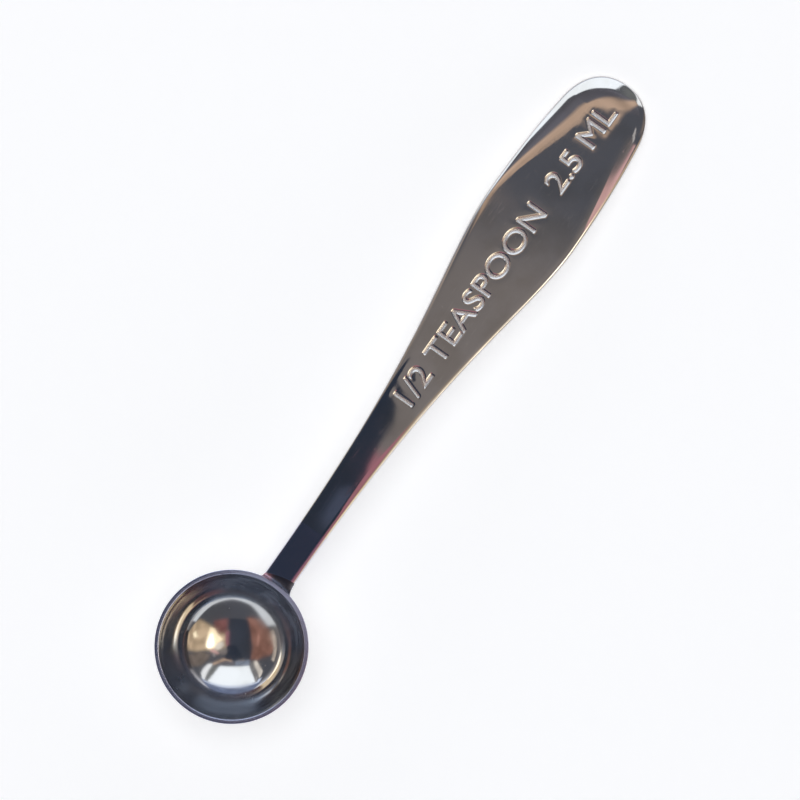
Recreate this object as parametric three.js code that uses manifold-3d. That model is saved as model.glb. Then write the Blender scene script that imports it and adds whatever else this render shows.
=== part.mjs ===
// A half-teaspoon measuring spoon for powdered tea, in millimetres with +Z up.
// A drawn steel cup is welded to a pressed steel handle. The spoon lies level on z = 0:
// it rests on the bottom of the cup and on the tip of the handle, which bows down to the table.
import * as THREE from "three";
import { mergeVertices } from "three/addons/utils/BufferGeometryUtils.js";
import Module from "manifold-3d";

// Bowl: a spherical cup with a flat, ground rim
const BOWL_RADIUS = 12.1; // inside, at the rim
const BOWL_DEPTH = 9.2; // inside, below the rim
const BOWL_WALL = 0.7;
const RIM_BREAK = 0.12; // broken edge on each side of the rim
const BOWL_SIDES = 60;
const BOWL_ARC_STEPS = 7;

// Handle: lengths follow one another from the bowl's axis to the tip
const NECK_LENGTH = 16.7; // to the end of the parallel neck
const FLARE_LENGTH = 70.5; // from there to the widest place
const TAPER_LENGTH = 19.6; // from there to the rounded end
const END_LENGTH = 7.9; // the rounded end
const NECK_WIDTH = 5.2;
const PADDLE_WIDTH = 17.6;
const END_WIDTH = 15.5; // where the rounded end starts
const HANDLE_GAUGE = 1.5; // sheet thickness
const EDGE_ROUND = 0.25; // how far in from the outline the sheet's edge is rounded
const NECK_ROLL = 1.3; // width of the rolled-down edge along the neck
const TIP_ROLL = 6; // and at the tip
const ROLL_LEAD = 2.5; // the roll starts to widen this far before the widest place
const FAN_GAP = 0.6; // left flat between the roll and the point that the tip fans out from
const ROOT_STEP = 0.5; // the neck's top lies this far below the rim

// Handle: shares that shape its curves
const FLARE_EASE = 0.63; // how long the neck stays slim in the flare
const SHOULDER_EASE = 0.2; // how early the flare reaches the full width
const END_SLOPE = 0.127; // lean of the outline where the rounded end starts
const CORNER_LEAD = 0.252; // share of the rounded end that runs on straight
const TIP_FULLNESS = 0.83; // how square the tip is
const ROLL_SLOPE = 0.24; // slope that the roll reaches at the outline

// Weld bead: a fillet round the neck's root, dressed flush with the rim on top
const BEAD_LEFT = { height: 0.6, length: 0.9 };
const BEAD_RIGHT = { height: 0.8, length: 2.4 };
const BEAD_UNDER_HEIGHT = 0.8;
const BEAD_STEPS = 6;
const WELD_GAP = 0.15; // left between the bead and the two pieces that it joins

// Places that follow from the sizes above
const INNER_SPHERE = (BOWL_RADIUS ** 2 + BOWL_DEPTH ** 2) / (2 * BOWL_DEPTH);
const OUTER_SPHERE = INNER_SPHERE + BOWL_WALL;
const SPHERE_HEIGHT = OUTER_SPHERE;
const RIM_HEIGHT = BOWL_DEPTH + BOWL_WALL;
const RIM_OUTER = sphereReach(OUTER_SPHERE, RIM_HEIGHT);
const PADDLE_AT = NECK_LENGTH + FLARE_LENGTH;
const END_AT = PADDLE_AT + TAPER_LENGTH;
const REACH = END_AT + END_LENGTH;
const SPINE_END = REACH - TIP_ROLL - FAN_GAP; // the sections of the tip fan out from here
const ROOT_HEIGHT = RIM_HEIGHT - ROOT_STEP - HANDLE_GAUGE / 2; // the sheet's middle at the root
const BOW_DROP = bowDrop();

const wasm = await Module();
wasm.setup();

// Radius of a sphere about the bowl's centre, cut at a height
function sphereReach(sphere, height) {
  return Math.sqrt(sphere ** 2 - (SPHERE_HEIGHT - height) ** 2);
}

// Closed solid from a geometry: equal corners are merged and flat triangles dropped
function solid(geometry) {
  geometry.deleteAttribute("normal");
  geometry.deleteAttribute("uv");
  const merged = mergeVertices(geometry, 1e-4);
  const corners = merged.index.array;
  const kept = [];
  for (let i = 0; i < corners.length; i += 3) {
    const [a, b, c] = corners.slice(i, i + 3);
    if (a !== b && b !== c && c !== a) {
      kept.push(a, b, c);
    }
  }
  const mesh = new wasm.Mesh({
    numProp: 3,
    vertProperties: new Float32Array(merged.attributes.position.array),
    triVerts: new Uint32Array(kept),
  });
  return new wasm.Manifold(mesh);
}

// Geometry of a finished solid
function geometryOf(body) {
  const mesh = body.getMesh();
  const geometry = new THREE.BufferGeometry();
  geometry.setAttribute("position", new THREE.BufferAttribute(mesh.vertProperties, 3));
  geometry.setIndex(new THREE.BufferAttribute(mesh.triVerts, 1));
  geometry.computeVertexNormals();
  return geometry;
}

// Turns a profile of [radius, height] about the bowl's axis
function revolved(profile) {
  const geometry = new THREE.LatheGeometry(profile.getPoints(BOWL_ARC_STEPS), BOWL_SIDES);
  return geometry.rotateX(Math.PI / 2);
}

// Arc of a sphere's profile between two heights
function sphereArc(profile, sphere, fromHeight, toHeight) {
  const angle = (height) => Math.asin((height - SPHERE_HEIGHT) / sphere);
  const start = angle(fromHeight);
  const end = angle(toHeight);
  profile.absarc(0, SPHERE_HEIGHT, sphere, start, end, end < start);
}

function bowlGeometry() {
  const profile = new THREE.Path();
  const shoulder = RIM_HEIGHT - RIM_BREAK;
  profile.moveTo(0, 0);
  sphereArc(profile, OUTER_SPHERE, 0, shoulder);
  profile.lineTo(RIM_OUTER - RIM_BREAK, RIM_HEIGHT);
  profile.lineTo(BOWL_RADIUS + RIM_BREAK, RIM_HEIGHT);
  profile.lineTo(sphereReach(INNER_SPHERE, shoulder), shoulder);
  sphereArc(profile, INNER_SPHERE, shoulder, BOWL_WALL);
  return revolved(profile);
}

// The room that the bowl takes up, with the weld's gap round it and open upwards
function bowlRoom() {
  const profile = new THREE.Path();
  const sphere = OUTER_SPHERE + WELD_GAP;
  const top = RIM_HEIGHT + BOWL_DEPTH;
  profile.moveTo(0, -WELD_GAP);
  sphereArc(profile, sphere, -WELD_GAP, RIM_HEIGHT);
  profile.lineTo(sphereReach(sphere, RIM_HEIGHT), top);
  profile.lineTo(0, top);
  return solid(revolved(profile));
}

// Half of the handle's outline as points [along, half-width] from inside the bowl to the tip
function handleOutline() {
  const neck = NECK_WIDTH / 2;
  const paddle = PADDLE_WIDTH / 2;
  const end = END_WIDTH / 2;
  const third = TAPER_LENGTH / 3;
  const lead = CORNER_LEAD * END_LENGTH;
  const neckLine = new THREE.LineCurve(
    new THREE.Vector2(BOWL_RADIUS - BOWL_WALL, neck),
    new THREE.Vector2(NECK_LENGTH, neck),
  );
  const flare = new THREE.CubicBezierCurve(
    new THREE.Vector2(NECK_LENGTH, neck),
    new THREE.Vector2(NECK_LENGTH + FLARE_EASE * FLARE_LENGTH, neck),
    new THREE.Vector2(PADDLE_AT - SHOULDER_EASE * FLARE_LENGTH, paddle),
    new THREE.Vector2(PADDLE_AT, paddle),
  );
  const taper = new THREE.CubicBezierCurve(
    new THREE.Vector2(PADDLE_AT, paddle),
    new THREE.Vector2(PADDLE_AT + third, paddle),
    new THREE.Vector2(END_AT - third, end + END_SLOPE * third),
    new THREE.Vector2(END_AT, end),
  );
  const rounded = new THREE.CubicBezierCurve(
    new THREE.Vector2(END_AT, end),
    new THREE.Vector2(END_AT + lead, end - END_SLOPE * lead),
    new THREE.Vector2(REACH, TIP_FULLNESS * end),
    new THREE.Vector2(REACH, 0),
  );
  return [
    ...neckLine.getSpacedPoints(4).slice(0, -1),
    ...flare.getSpacedPoints(16).slice(0, -1),
    ...taper.getSpacedPoints(6).slice(0, -1),
    ...rounded.getSpacedPoints(12),
  ];
}

// Width of the rolled-down edge at a place along the outline
function rollWidth(along) {
  const share = THREE.MathUtils.smoothstep(along, PADDLE_AT - ROLL_LEAD, END_AT);
  return THREE.MathUtils.lerp(NECK_ROLL, TIP_ROLL, share);
}

// How far a roll of that width has dropped at a distance in from the outline
function rollDrop(inset, width) {
  const share = Math.max(0, 1 - inset / width);
  return (ROLL_SLOPE * width * share ** 3) / 3;
}

// Half of the sheet's thickness at a distance in from the outline
function halfGauge(inset) {
  const share = Math.max(0, 1 - inset / EDGE_ROUND);
  return (HANDLE_GAUGE / 2) * Math.sqrt(1 - share ** 2);
}

// Share of the bow that is reached along the handle: none at the root, all of it at the tip
function bowShare(along) {
  return (Math.max(0, along - RIM_OUTER) / (REACH - RIM_OUTER)) ** 2;
}

// The drop of the bow that just brings the tip's underside down to the table
function bowDrop() {
  const steps = 40;
  let drop = Infinity;
  for (let i = 0; i <= steps; i += 1) {
    const inset = (2 * EDGE_ROUND * i) / steps;
    const below = rollDrop(inset, TIP_ROLL) + halfGauge(inset);
    drop = Math.min(drop, (ROOT_HEIGHT - below) / bowShare(REACH - inset));
  }
  return drop;
}

// Distances in from the outline at which a section has points: round edge, roll, flat, centre
function sectionInsets(halfWidth, roll) {
  const edge = [0, 30, 60, 90].map((degrees) => {
    return EDGE_ROUND * (1 - Math.cos(THREE.MathUtils.degToRad(degrees)));
  });
  const rolled = [1, 2, 3, 4].map((step) => EDGE_ROUND + ((roll - EDGE_ROUND) * step) / 4);
  return [...edge, ...rolled, (roll + halfWidth) / 2, halfWidth];
}

// Section of the sheet from the spine to one outline point, as pairs of a top and a bottom point
function halfSection(point, side) {
  const foot = Math.min(point.x, SPINE_END);
  const halfWidth = Math.hypot(point.x - foot, point.y);
  const roll = rollWidth(point.x);
  return sectionInsets(halfWidth, roll).map((inset) => {
    const share = 1 - inset / halfWidth;
    const x = foot + (point.x - foot) * share;
    const y = side * point.y * share;
    const middle = ROOT_HEIGHT - BOW_DROP * bowShare(x) - rollDrop(inset, roll);
    return { x, y, middle, half: halfGauge(inset) };
  });
}

// Whole section as one row of pairs from the right-hand edge to the left-hand edge
function fullSection(point) {
  const right = halfSection(point, -1);
  const left = halfSection(point, 1);
  return [...right, ...left.reverse().slice(1)];
}

// Closed loop of a section: along the top and back along the bottom
function sectionLoop(row) {
  const top = row.map((p) => new THREE.Vector3(p.x, p.y, p.middle + p.half));
  const bottom = row.map((p) => new THREE.Vector3(p.x, p.y, p.middle - p.half));
  return [...top, ...bottom.reverse()];
}

// Skin through loops of equal length, closed at both ends across the sheet
function loft(loops) {
  const count = loops[0].length;
  const triangles = [];
  const quad = (a, b, c, d) => triangles.push(a, b, c, a, c, d);
  for (let i = 0; i + 1 < loops.length; i += 1) {
    for (let j = 0; j < count; j += 1) {
      const k = (j + 1) % count;
      quad(loops[i][j], loops[i + 1][j], loops[i + 1][k], loops[i][k]);
    }
  }
  const first = loops[0];
  const last = loops[loops.length - 1];
  for (let j = 0; j + 1 < count / 2; j += 1) {
    quad(first[j], first[j + 1], first[count - 2 - j], first[count - 1 - j]);
    quad(last[count - 1 - j], last[count - 2 - j], last[j + 1], last[j]);
  }
  const geometry = new THREE.BufferGeometry().setFromPoints(triangles);
  return solid(geometry);
}

function handleGeometry() {
  const body = loft(handleOutline().map((point) => sectionLoop(fullSection(point))));
  return geometryOf(body.subtract(bowlRoom()));
}

// Neck section grown on each side, at a place along the handle
function grownNeck(along, grow) {
  const half = NECK_WIDTH / 2;
  const row = fullSection(new THREE.Vector2(along, half));
  return sectionLoop(row).map((p, index) => {
    const { middle } = row[index < row.length ? index : 2 * row.length - 1 - index];
    const wide = p.y > 0 ? grow.left : grow.right;
    const tall = p.z > middle ? grow.top : grow.under;
    const y = p.y * (1 + wide / half);
    const z = middle + (p.z - middle) * (1 + (2 * tall) / HANDLE_GAUGE);
    return new THREE.Vector3(along, y, z);
  });
}

// Loop of the bead at an angle of its fillet: 90 degrees on the bowl's wall, 0 along the neck
function beadLoop(angle) {
  const rise = 1 - Math.cos(angle);
  const run = 1 - Math.sin(angle);
  const loop = grownNeck(RIM_OUTER, {
    left: BEAD_LEFT.height * rise,
    right: BEAD_RIGHT.height * rise,
    top: ROOT_STEP * rise,
    under: BEAD_UNDER_HEIGHT * rise,
  });
  return loop.map((p) => {
    const length = THREE.MathUtils.mapLinear(
      p.y, -NECK_WIDTH / 2, NECK_WIDTH / 2, BEAD_RIGHT.length, BEAD_LEFT.length,
    );
    const wall = Math.sqrt(OUTER_SPHERE ** 2 - p.y ** 2 - (p.z - SPHERE_HEIGHT) ** 2);
    return new THREE.Vector3(wall + length * run, p.y, p.z);
  });
}

function beadGeometry() {
  const steps = Array.from({ length: BEAD_STEPS + 1 }, (_, i) => (1 - i / BEAD_STEPS) * (Math.PI / 2));
  const onWall = beadLoop(Math.PI / 2);
  const buried = onWall.map((p) => new THREE.Vector3(p.x - 2 * BOWL_WALL, p.y, p.z));
  const plug = loft([buried, ...steps.map(beadLoop)]);
  const gap = { left: WELD_GAP, right: WELD_GAP, top: WELD_GAP, under: WELD_GAP };
  const room = loft([grownNeck(BOWL_RADIUS - 2 * BOWL_WALL, gap), grownNeck(NECK_LENGTH, gap)]);
  return geometryOf(plug.subtract(room).subtract(bowlRoom()));
}

function piece(name, geometry, color, roughness) {
  const material = new THREE.MeshStandardMaterial({ color, roughness, metalness: 1 });
  const mesh = new THREE.Mesh(geometry, material);
  mesh.name = name;
  return mesh;
}

// The origin lies under the middle of the spoon's length
const spoon = new THREE.Group();
spoon.position.x = (RIM_OUTER - REACH) / 2;
spoon.add(piece("bowl", bowlGeometry(), 0xb9b6b2, 0.1));
spoon.add(piece("handle", handleGeometry(), 0xb4b1ae, 0.08));
spoon.add(piece("weld_bead", beadGeometry(), 0xa5a29f, 0.3));

export default spoon;
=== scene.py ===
"""A half-teaspoon measuring spoon: a drawn steel cup welded to a pressed and polished steel handle.

Lengths are in metres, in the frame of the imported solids: x runs along the handle to its tip,
y to its left-hand edge, and z up from the table that the spoon lies on.
"""
import math
from typing import NamedTuple

import bmesh
import bpy
import numpy as np
from bpy.props import FloatProperty, FloatVectorProperty, IntProperty, PointerProperty, StringProperty
from bpy.types import Operator, Panel, PropertyGroup
from mathutils import Matrix, Vector
from mathutils.geometry import interpolate_bezier


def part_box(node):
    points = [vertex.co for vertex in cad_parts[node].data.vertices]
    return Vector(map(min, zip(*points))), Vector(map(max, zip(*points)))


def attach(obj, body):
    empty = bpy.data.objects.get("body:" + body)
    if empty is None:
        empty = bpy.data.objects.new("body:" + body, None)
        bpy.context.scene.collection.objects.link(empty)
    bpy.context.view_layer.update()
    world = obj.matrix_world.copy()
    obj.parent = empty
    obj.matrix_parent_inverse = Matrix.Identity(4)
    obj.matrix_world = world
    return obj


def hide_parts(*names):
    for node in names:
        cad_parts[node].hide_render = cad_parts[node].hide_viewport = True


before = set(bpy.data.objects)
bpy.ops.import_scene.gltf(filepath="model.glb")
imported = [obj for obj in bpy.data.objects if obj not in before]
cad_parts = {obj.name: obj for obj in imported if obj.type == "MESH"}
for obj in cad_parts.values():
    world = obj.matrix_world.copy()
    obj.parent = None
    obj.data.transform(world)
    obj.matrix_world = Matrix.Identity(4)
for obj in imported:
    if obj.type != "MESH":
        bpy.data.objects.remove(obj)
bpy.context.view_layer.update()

bl_info = {
    "name": "Measuring Spoon",
    "version": (1, 0, 0),
    "blender": (4, 5, 0),
    "location": "View3D > Sidebar > Spoon",
    "description": "Builds a polished steel half-teaspoon measuring spoon and its studio",
    "category": "Add Mesh",
}

BOWL_LOW, BOWL_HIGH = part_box("bowl")
BOWL_AXIS = (BOWL_LOW.x + BOWL_HIGH.x) / 2
RIM_HEIGHT = BOWL_HIGH.z
HANDLE_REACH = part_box("handle")[1].x - BOWL_AXIS

MM = 0.001
MICRON = 1e-6
MERGE = 0.5 * MICRON  # points closer than this are one point
PICTURE_TURN = math.radians(35.125)  # from the handle's length to the picture's upward direction
THIN_FROM = math.radians(25)  # from the bowl's bottom round to where its wall starts to thin
THIN_TO = math.radians(63)  # from the bowl's bottom round to where its wall has its full thickness again
DULL_SIDE = (0.996, -0.09, 0)  # towards the side of the bowl that keeps most of a dull film; the painted wall shade is darkest on the opposite side
BRIGHT_SIDES = (-0.05, 0.999, 0)  # across the bowl, to the two sides of its wall that are polished best and that the painted wall shade spares


def length(name, description, default):
    """A size that is shown as a length."""
    return FloatProperty(
        name=name, description=description, default=default, min=0, precision=5,
        subtype="DISTANCE", unit="LENGTH",
    )


def share(name, description, default):
    """A number from 0 to 1."""
    return FloatProperty(
        name=name, description=description, default=default, min=0, max=1, subtype="FACTOR",
    )


def colour(name, description, default):
    """A colour in linear red, green and blue."""
    return FloatVectorProperty(
        name=name, description=description, default=default, size=3, min=0, max=1, subtype="COLOR",
    )


def strength(name, description, default):
    """How bright a light's surface is, where 1 is white."""
    return FloatProperty(name=name, description=description, default=default, min=0)


class BowlSettings(PropertyGroup):
    """Sizes of the cup"""

    inner_radius: length("Inner radius", "Radius of the mouth inside the rim", 12.1 * MM)
    wall: length("Wall", "Thickness of the drawn wall", 0.7 * MM)
    thinning: length("Thinning", "How much thinner drawing has left the wall half-way up", 0.2 * MM)
    rim_break: length("Rim break", "Rounding on each side of the ground rim", 0.12 * MM)
    sides: IntProperty(name="Sides", description="Steps round the cup", default=160, min=24)
    rings: IntProperty(name="Rings", description="Steps from the bottom to the rim", default=36, min=6)


class HandleSettings(PropertyGroup):
    """Sizes of the handle, whose lengths follow one another from the bowl's axis"""

    neck_length: length("Neck length", "From the bowl's axis to the end of the parallel neck", 16.7 * MM)
    flare_length: length("Flare length", "From the neck to the widest place", 70.5 * MM)
    taper_length: length("Taper length", "From the widest place to the rounded end", 19.6 * MM)
    neck_width: length("Neck width", "Width of the parallel neck", 5.2 * MM)
    paddle_width: length("Paddle width", "Width of the widest place", 17.6 * MM)
    end_width: length("End width", "Width where the rounded end starts", 15.5 * MM)
    gauge: length("Gauge", "Thickness of the sheet", 1.5 * MM)
    edge_round: length("Edge round", "How far in the sheet's edge is rounded", 0.25 * MM)
    neck_roll: length("Neck roll", "Width of the rolled edge along the neck", 1.3 * MM)
    tip_roll: length("Tip roll", "Width of the rolled edge at the tip", 6 * MM)
    roll_lead: length("Roll lead", "The roll widens from this far before the widest place", 2.5 * MM)
    fan_gap: length("Fan gap", "Flat between the tip's roll and the fan's centre", 0.6 * MM)
    root_step: length("Root step", "How far the neck's top lies below the rim", 0.5 * MM)
    flare_ease: share("Flare ease", "How long the neck stays slim in the flare", 0.63)
    shoulder_ease: share("Shoulder ease", "How early the flare reaches the full width", 0.2)
    end_slope: share("End slope", "Lean of the outline where the rounded end starts", 0.127)
    corner_lead: share("Corner lead", "Share of the rounded end that runs on straight", 0.252)
    tip_fullness: share("Tip fullness", "How square the tip is", 0.83)
    roll_slope: share("Roll slope", "Slope that the roll reaches at the outline", 0.24)


class MarkSettings(PropertyGroup):
    """The capacity mark that is stamped into the handle"""

    words: StringProperty(name="Words", description="What is stamped", default="1/2 TEASPOON  2.5 ML")
    start: length("Start", "From the bowl's axis to the first letter", 49.6 * MM)
    end: length("End", "From the bowl's axis to the end of the last letter", 109.6 * MM)
    cap_height: length("Cap height", "Height of the letters", 3.7 * MM)
    offset: length("Offset", "How far the letters sit left of the middle", 0.3 * MM)
    depth: length("Depth", "How deep the letters are stamped", 0.13 * MM)
    wall: length("Wall", "Width of the letters' sloping sides", 0.26 * MM)
    sink: length("Sink", "How far the sheet sinks beside the letters", 0.008 * MM)
    sink_width: length("Sink width", "How far from the letters the sheet sinks", 0.7 * MM)


class BeadSettings(PropertyGroup):
    """Sizes of the weld bead round the neck's root"""

    left_height: length("Left height", "Height on the bowl's wall, left of the neck", 0.6 * MM)
    left_length: length("Left length", "Length along the neck's left side", 0.9 * MM)
    right_height: length("Right height", "Height on the bowl's wall, right of the neck", 0.8 * MM)
    right_length: length("Right length", "Length along the neck's right side", 2.4 * MM)
    under_height: length("Under height", "Height on the bowl's wall under the neck", 0.8 * MM)


class FinishSettings(PropertyGroup):
    """Colours and gloss of the steel"""

    steel: colour("Steel", "Polished steel", (0.66, 0.64, 0.63))
    steel_warm: colour("Warm steel", "Steel where handling has left a film", (0.60, 0.575, 0.55))
    mark: colour("Mark", "Bare steel in specks and scratches", (0.9, 0.89, 0.88))
    mark_cover: share("Mark cover", "How much of that colour shows in a mark", 0.2)
    haze: share("Haze", "Roughness that smudges add", 0.025)

    cup: share("Cup", "Roughness of the polished bottom of the bowl", 0.1)
    bright: share("Bright", "How much of that roughness the bowl's best polished sides lack", 0.88)
    bowl_lines: share("Bowl lines", "Roughness that drawing lines add all over the bowl", 0.04)
    bowl_specks: share("Bowl specks", "Roughness that specks add on the bowl", 0.2)
    drawn: share("Drawn", "Roughness that drawing adds up the bowl's wall", 0.13)
    film: share("Film", "Cover of the dull film that drawing leaves up the bowl's wall", 0.3)
    # Painted shade and reflection: a darker, bluer steel up the wall that stands in for the slate-blue
    # surroundings it reflects.
    painted_shade_up_wall: colour("Wall steel", "Painted shade: darker, bluer steel up the bowl's wall", (0.375, 0.43, 0.54))
    # Painted shade: still darker steel on the wall's side away from the handle, which dims a reflected
    # highlight there.
    painted_shade_far_side: colour("Wall shade", "Painted shade: darkest steel furthest from the handle", (0.265, 0.31, 0.395))
    rim: share("Rim", "Roughness of the ground rim", 0.2)
    # Painted reflection: the ground rim's steel tinted blue for the bluish studio it reflects.
    rim_painted_blue: colour("Rim steel", "Ground steel of the rim", (0.62, 0.65, 0.84))

    gloss: share("Gloss", "Roughness of the handle's mirror polish", 0.03)
    handle_lines: share("Handle lines", "Roughness that polishing lines add on the handle", 0.02)
    handle_marks: share("Handle marks", "Roughness that specks and scratches add on the handle", 0.05)
    ground: share("Ground", "Roughness of the ground stretch at the neck's root", 0.06)
    # Painted reflection: ground steel tinted blue for the dark blue overhead it reflects.
    ground_painted_blue: colour("Ground steel", "Ground steel at the neck's root", (0.62, 0.61, 0.69))
    ground_end: length("Ground end", "From the bowl's axis to where the mirror polish starts", 23.6 * MM)
    stamped: share("Stamped", "Roughness on the floor of the stamped letters", 0.42)
    stamped_steel: colour("Stamped steel", "Satin steel on the floor of the letters", (0.74, 0.72, 0.72))

    # Painted shade: a dark bluish colour for the dark overhead that the dressed weld reflects.
    weld: colour("Weld", "Dressed weld", (0.10, 0.105, 0.14))
    # Painted reflection: a rose patch on the weld's left, standing in for a rosy thing it reflects.
    weld_painted_rose: colour("Weld tint", "Painted rose reflection on the weld's left", (0.45, 0.25, 0.29))
    dressed: share("Dressed", "Roughness of the dressed weld", 0.17)
    mottle: share("Mottle", "Roughness that the weld's mottle adds", 0.15)


class StageSettings(PropertyGroup):
    """The studio's floor, lights and camera"""

    floor: colour("Floor", "Floor and backdrop", (0.92, 0.92, 0.92))
    floor_lift: share("Floor lift", "White that the floor adds to its own colour where it is seen", 0.48)
    key: strength("Key", "Brightness of the large softbox that lights the floor", 1.58)
    ceiling: colour("Ceiling", "The studio overhead", (0.105, 0.112, 0.135))
    horizon: colour("Horizon", "The studio above the backdrop, beyond the spoon's ends", (0.9, 0.93, 1.0))
    horizon_glow: strength("Horizon glow", "Brightness of the studio's horizon beyond the ends", 1.5)
    wings: colour("Wings", "The studio above the backdrop, at the spoon's sides", (0.42, 0.395, 0.385))
    near: length("Near", "Height of the near cards", 0.2)
    far: length("Far", "Height of the far cards", 2.0)
    camera_height: length("Camera height", "Height of the camera above the table", 0.606)
    lens: FloatProperty(
        name="Lens", description="Focal length of the camera", default=162.1, min=1,
        subtype="DISTANCE_CAMERA",
    )


class SpoonSettings(PropertyGroup):
    """All settings of the spoon"""

    bowl: PointerProperty(type=BowlSettings)
    handle: PointerProperty(type=HandleSettings)
    mark: PointerProperty(type=MarkSettings)
    bead: PointerProperty(type=BeadSettings)
    finish: PointerProperty(type=FinishSettings)
    stage: PointerProperty(type=StageSettings)


class Shading:
    """Short ways to add nodes to one node tree and to join them."""

    def __init__(self, tree):
        self.tree = tree
        tree.nodes.clear()

    def add(self, kind, inputs=None, **settings):
        node = self.tree.nodes.new("ShaderNode" + kind)
        for name, value in settings.items():
            setattr(node, name, value)
        for socket, value in (inputs or {}).items():
            if isinstance(value, bpy.types.NodeSocket):
                self.tree.links.new(value, node.inputs[socket])
            else:
                node.inputs[socket].default_value = value
        return node

    def place(self):
        return self.add("TexCoord").outputs["Object"]

    def axis(self, vector, name):
        return self.add("SeparateXYZ", {0: vector}).outputs[name]

    def math(self, operation, first, second=0.0):
        return self.add("Math", {0: first, 1: second}, operation=operation).outputs[0]

    def times(self, first, second):
        return self.math("MULTIPLY", first, second)

    def total(self, first, *others):
        for other in others:
            first = self.math("ADD", first, other)
        return first

    def vector(self, operation, first, second=(0, 0, 0)):
        return self.add("VectorMath", {0: first, 1: second}, operation=operation).outputs["Vector"]

    def measure(self, operation, first, second=(0, 0, 0)):
        """A number that vectors give, such as a length or a dot product."""
        return self.add("VectorMath", {0: first, 1: second}, operation=operation).outputs["Value"]

    def placed(self, vector, scale=(1, 1, 1), turn=0.0, move=(0, 0, 0)):
        inputs = {"Vector": vector, "Location": move, "Rotation": (0, 0, turn), "Scale": scale}
        return self.add("Mapping", inputs).outputs[0]

    def ramp(self, value, low, high, start=0.0, end=1.0):
        """Goes smoothly from start to end as the value goes from low to high."""
        inputs = {"Value": value, "From Min": low, "From Max": high, "To Min": start, "To Max": end}
        return self.add("MapRange", inputs, interpolation_type="SMOOTHSTEP").outputs[0]

    def noise(self, vector, scale, detail=2.0):
        return self.add("TexNoise", {"Vector": vector, "Scale": scale, "Detail": detail}).outputs[0]

    def mix(self, factor, first, second):
        inputs = {0: factor, 6: first, 7: second}
        return self.add("Mix", inputs, data_type="RGBA").outputs[2]

    def blend(self, factor, first, second):
        return self.add("Mix", {0: factor, 2: first, 3: second}, data_type="FLOAT").outputs[0]

    def bump(self, height, depth, normal=None):
        inputs = {"Height": height, "Distance": depth, "Strength": 1.0}
        if normal is not None:
            inputs["Normal"] = normal
        return self.add("Bump", inputs).outputs[0]

    def hairlines(self, vector, turn, scale, seed):
        """Sparse scratches that run in one direction: 1 on a scratch and 0 beside it."""
        lengthwise = 0.06 * scale
        along = self.placed(vector, (lengthwise, scale, lengthwise), turn, (seed, seed, seed))
        wander = self.math("SUBTRACT", self.noise(along, scale=1.0, detail=3.0), 0.5)
        line = self.ramp(self.math("ABSOLUTE", wander), low=0.0, high=0.008, start=1.0, end=0.0)
        patches = self.noise(self.placed(vector, move=(seed, 0, 0)), scale=260, detail=1.0)
        return self.times(line, self.ramp(patches, low=0.52, high=0.62))

    def specks(self, vector, scale, size, share_of_cells):
        """Small round spots in some of the cells: 1 on a spot and 0 beside it."""
        cells = self.add("TexVoronoi", {"Vector": vector, "Scale": scale})
        spot = self.ramp(cells.outputs["Distance"], low=size / 2, high=size, start=1.0, end=0.0)
        chosen = self.add("SeparateColor", {0: cells.outputs["Color"]}).outputs[0]
        return self.times(spot, self.math("LESS_THAN", chosen, share_of_cells))


def new_material(name):
    material = bpy.data.materials.new(name)
    material.use_nodes = True
    return material, Shading(material.node_tree)


def opaque(rgb):
    return (*rgb, 1.0)


def finish_shader(s, base, roughness, normal, metal=1.0):
    """Closes a steel's node tree: metal with that colour, roughness and normal."""
    inputs = {"Base Color": base, "Metallic": metal, "Roughness": roughness, "Normal": normal}
    steel = s.add("BsdfPrincipled", inputs)
    s.add("OutputMaterial", {"Surface": steel.outputs[0]})


def film_colour(s, place, finish, marks):
    """Steel whose colour drifts with a thin film of handling and is paler in its marks."""
    film = s.ramp(s.noise(place, scale=140, detail=3.0), low=0.42, high=0.68)
    base = s.mix(film, opaque(finish.steel), opaque(finish.steel_warm))
    return s.mix(s.times(marks, finish.mark_cover), base, opaque(finish.mark))


def grainy(s, place, roughness, scale, spread):
    """A roughness that varies from grain to grain."""
    return s.total(roughness, s.times(s.noise(place, scale), spread))


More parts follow.
